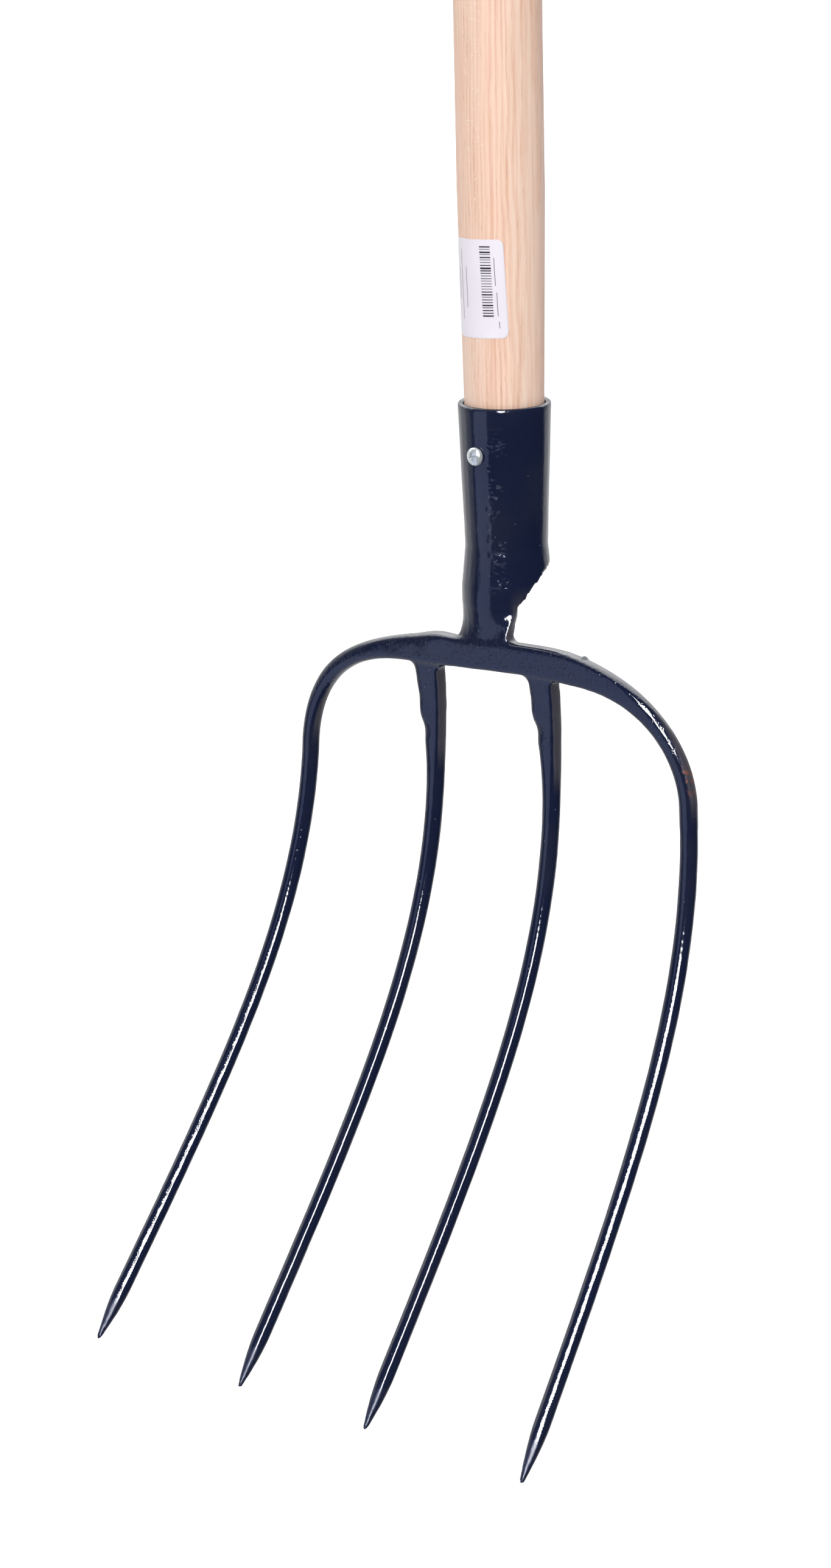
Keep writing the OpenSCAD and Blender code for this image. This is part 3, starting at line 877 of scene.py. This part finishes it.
STROKE_ROWS = ((-11.2, -5, 9), (-8.6, -14, 17), (-5.0, -8.5, 9.5), (11.0, -17.5, -14.5), (10.6, -12, -1.5),
               (10.2, 1.5, 14))
STROKE_WIDTH = 0.3 * MM


def ruled_strokes(material):
    """Plain grey rules in place of the writing."""
    work = bmesh.new()
    for across, start, end in STROKE_ROWS:
        steps = 12
        low = across * MM - STROKE_WIDTH / 2
        high = across * MM + STROKE_WIDTH / 2
        pairs = []
        for i in range(steps + 1):
            along = blend(start, end, i / steps) * MM
            pairs.append((work.verts.new((low, along, 0)), work.verts.new((high, along, 0))))
        for near, far in zip(pairs, pairs[1:]):
            work.faces.new((near[0], near[1], far[1], far[0]))
    mesh = bpy.data.meshes.new("label_strokes")
    work.to_mesh(mesh)
    work.free()
    return wrapped_print(new_piece("label_strokes", mesh, material))


def wrapped_print(piece):
    """Lays flat print, drawn across and along the label, round the handle on the paper."""
    for vertex in piece.data.vertices:
        vertex.co = wrap(vertex.co.x, vertex.co.y, PRINT_LIFT)
    work = bmesh.new()
    work.from_mesh(piece.data)
    for face in work.faces:
        centre = face.calc_center_median()
        face.normal_update()
        if face.normal.x * centre.x + face.normal.y * centre.y < 0:
            face.normal_flip()
    work.to_mesh(piece.data)
    work.free()
    return piece


# The screw

SCREW_HEAD_HEIGHT = 3.0 * MM
SCREW_PROFILE = ((0.0, -25.0), (0.3, -25.0), (2.1, -20.8), (2.1, -0.6), (2.1, 0.0), (3.7, 0.0), (4.0, 0.08),
                 (4.15, 0.3), (4.15, 1.0), (4.05, 1.35), (3.8, 1.75), (3.4, 2.12), (2.8, 2.48), (2.1, 2.74),
                 (1.3, 2.92), (0.6, 2.99), (0.0, 3.0))
SCREW_SIDES = 72
CROSS_TURN = 20


def screw(material):
    """The pan head of the screw with its cross recess, and the shank behind it."""
    work = bmesh.new()
    verts = [work.verts.new((r * MM, 0, h * MM)) for r, h in SCREW_PROFILE]
    edges = [work.edges.new(pair) for pair in zip(verts, verts[1:])]
    bmesh.ops.spin(work, geom=verts + edges, cent=(0, 0, 0), axis=(0, 0, 1), angle=math.tau,
                   steps=SCREW_SIDES)
    bmesh.ops.remove_doubles(work, verts=work.verts, dist=1e-6)
    bmesh.ops.recalc_face_normals(work, faces=work.faces)
    mesh = bpy.data.meshes.new("screw")
    work.to_mesh(mesh)
    work.free()
    body = bpy.data.objects.new("screw_body", mesh)
    bpy.context.scene.collection.objects.link(body)
    cutter = cross_cutter()
    cut = body.modifiers.new("cross", "BOOLEAN")
    cut.object = cutter
    cut.solver = "EXACT"
    rounded = body.modifiers.new("round", "BEVEL")
    rounded.width = 0.12 * MM
    rounded.segments = 2
    rounded.limit_method = "ANGLE"
    rounded.angle_limit = math.radians(40)
    made = evaluated_mesh(body)
    bpy.data.objects.remove(body)
    bpy.data.objects.remove(cutter)
    seat_y = SCREW_LOW.y + SCREW_HEAD_HEIGHT
    made.transform(Matrix.Translation((0, seat_y, SCREW_Z)) @ Matrix.Rotation(math.pi / 2, 4, "X"))
    piece = new_piece("pan_screw", made, material)
    made.set_sharp_from_angle(angle=math.radians(50))
    return piece


def cross_cutter():
    """Two crossing wedges that narrow on the way down."""
    top, bottom = 3.3 * MM, 1.1 * MM
    work = bmesh.new()
    for turn in (CROSS_TURN, CROSS_TURN + 90):
        made = bmesh.ops.create_cube(work, size=1.0)
        for v in made["verts"]:
            up = v.co.z > 0
            half_length = 2.35 * MM if up else 1.05 * MM
            half_width = 0.62 * MM if up else 0.34 * MM
            v.co = Vector((math.copysign(half_length, v.co.x), math.copysign(half_width, v.co.y),
                           top if up else bottom))
        bmesh.ops.rotate(work, verts=made["verts"], cent=(0, 0, 0),
                         matrix=Matrix.Rotation(math.radians(turn), 3, "Z"))
    mesh = bpy.data.meshes.new("cross")
    work.to_mesh(mesh)
    work.free()
    cutter = bpy.data.objects.new("cross", mesh)
    bpy.context.scene.collection.objects.link(cutter)
    union = cutter.modifiers.new("join", "REMESH")
    union.mode = "VOXEL"
    union.voxel_size = 0.06 * MM
    return cutter


# Camera, floor and light

CAMERA_AZIMUTH = math.radians(40.834)
CAMERA_ELEVATION = math.radians(16.148)
CAMERA_ROLL = math.radians(-1.33)
CAMERA_PLACE = Vector((1.22218, -1.48105, -0.28144))
CAMERA_LENS = 100.0


def camera():
    """The photograph's own camera, found by fitting the solids' outline to it."""
    sin_a, cos_a = math.sin(CAMERA_AZIMUTH), math.cos(CAMERA_AZIMUTH)
    sin_e, cos_e = math.sin(CAMERA_ELEVATION), math.cos(CAMERA_ELEVATION)
    back = Vector((sin_a * cos_e, -cos_a * cos_e, sin_e))
    right = Vector((cos_a, sin_a, 0))
    up = back.cross(right)
    sin_r, cos_r = math.sin(CAMERA_ROLL), math.cos(CAMERA_ROLL)
    side = right * cos_r + up * sin_r
    top = up * cos_r - right * sin_r
    data = bpy.data.cameras.new("camera")
    data.sensor_width = 36.0
    data.lens = CAMERA_LENS
    data.clip_start = 0.05
    data.clip_end = 100.0
    shooter = bpy.data.objects.new("camera", data)
    turn = Matrix((side, top, back)).transposed().to_4x4()
    shooter.matrix_world = Matrix.Translation(CAMERA_PLACE) @ turn
    bpy.context.scene.collection.objects.link(shooter)
    bpy.context.scene.camera = shooter


FLOOR_DROP = 0.85
FLOOR_SIZE = 40.0


def floor():
    """A wide pale floor, far enough below the points that no shadow reaches the picture."""
    mesh = bpy.data.meshes.new("floor")
    z = cad_low.z - FLOOR_DROP
    corners = [(-FLOOR_SIZE, -FLOOR_SIZE, z), (FLOOR_SIZE, -FLOOR_SIZE, z), (FLOOR_SIZE, FLOOR_SIZE, z),
               (-FLOOR_SIZE, FLOOR_SIZE, z)]
    mesh.from_pydata(corners, [], [(0, 1, 2, 3)])
    piece = bpy.data.objects.new("floor", mesh)
    bpy.context.scene.collection.objects.link(piece)
    material = bpy.data.materials.new("floor_white")
    material.use_nodes = True
    tree = material.node_tree
    shader = tree.nodes["Principled BSDF"]
    shader.inputs["Base Color"].default_value = (0.82, 0.82, 0.82, 1)
    shader.inputs["Roughness"].default_value = 0.9
    light_path = tree.nodes.new("ShaderNodeLightPath")
    to_camera = Value(tree, light_path.outputs["Is Camera Ray"])
    shader.inputs["Emission Color"].default_value = (1, 1, 1, 1)
    join(tree, shader.inputs["Emission Strength"], to_camera * 0.6)
    mesh.materials.append(material)
    piece.visible_glossy = False


SCREEN_TINT = (0.62, 0.72, 1.1)
SCREEN_LEVEL = 1.0
AMBIENT_LEVEL = 0.63
DARK_LEVEL = 0.015
LAMP_LEVEL = 44.0
HIGH_SCREEN_GAIN = 2.2


def studio():
    """White all round to the camera. Reflections see white screens, a lamp and the room's dark side."""
    world = bpy.data.worlds.new("studio")
    bpy.context.scene.world = world
    world.use_nodes = True
    tree = world.node_tree
    tree.nodes.clear()
    place = add_node(tree, "ShaderNodeTexCoord", {}, out="Generated")
    x, y, z = axes(tree, place)
    azimuth = turn_round_handle(tree, x, y) * (180 / math.pi)
    elevation = z.math("ARCSINE") * (180 / math.pi)
    screen_start = elevation * 0.6 - 36.0
    screen = (azimuth - screen_start).step(-3.0, 3.0) * (1 - azimuth.step(-7.0, -5.0))
    screen = screen * (1 - elevation.step(50.0, 60.0))
    behind = 1 - azimuth.step(-82.0, -46.0) * (1 - azimuth.step(148.0, 172.0))
    lamp = azimuth.between(24.0, 44.0, 0.6) * elevation.between(14.0, 58.0, 0.6)
    seen = mix_colour(tree, screen * SCREEN_LEVEL, (DARK_LEVEL,) * 3, SCREEN_TINT)
    seen = mix_colour(tree, behind, seen, (1.0, 1.0, 1.0))
    high_screen = behind * elevation.step(8.0, 30.0) * HIGH_SCREEN_GAIN
    light_path = tree.nodes.new("ShaderNodeLightPath")
    to_camera = Value(tree, light_path.outputs["Is Camera Ray"])
    glossy = Value(tree, light_path.outputs["Is Glossy Ray"])
    around = mix_colour(tree, glossy, (AMBIENT_LEVEL,) * 3, seen)
    around = mix_colour(tree, to_camera, around, (1.0, 1.0, 1.0))
    extra = lamp * (LAMP_LEVEL / DARK_LEVEL) + high_screen
    level = 1 + extra * glossy * (1 - to_camera)
    background = add_node(tree, "ShaderNodeBackground", {}, around, level)
    leave = tree.nodes.new("ShaderNodeOutputWorld")
    join(tree, leave.inputs["Surface"], background)


def panel(name, azimuth, elevation, distance, width, height, power, aim):
    """A soft box, facing the point that it is aimed at. Reflections see the studio's own lamps instead."""
    data = bpy.data.lights.new(name, "AREA")
    data.shape = "RECTANGLE"
    data.size = width
    data.size_y = height
    data.energy = power
    light = bpy.data.objects.new(name, data)
    a, e = math.radians(azimuth), math.radians(elevation)
    away = Vector((math.sin(a) * math.cos(e), -math.cos(a) * math.cos(e), math.sin(e)))
    light.location = aim + away * distance
    light.rotation_mode = "QUATERNION"
    light.rotation_quaternion = away.to_track_quat("Z", "Y")
    light.visible_glossy = False
    bpy.context.scene.collection.objects.link(light)


def lights():
    aim = Vector((0, -0.04, YOKE_Z))
    panel("front_strip", 33, 36, 2.6, 0.42, 1.7, 29, aim)


# The assembly

scene = bpy.context.scene
scene.view_settings.view_transform = "Standard"

camera()
studio()
floor()
lights()

head = hammered_head(enamel())
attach(head, "root")
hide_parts("fork_head")

handle = turned_handle(ash())
close_ends(handle)
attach(handle, "root")
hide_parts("handle")

fixing = screw(zinc())
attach(fixing, "root")
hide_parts("socket_screw")

sticker = label_sheet(paper())
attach(sticker, "root")
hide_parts("label")

black_ink = ink("label_ink", colour(26, 22, 32), colour(52, 47, 58))
grey_ink = ink("label_grey_ink", colour(96, 90, 100), colour(130, 124, 132))
for print_piece in (printed_bars(black_ink), ruled_strokes(grey_ink)):
    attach(print_piece, "root")
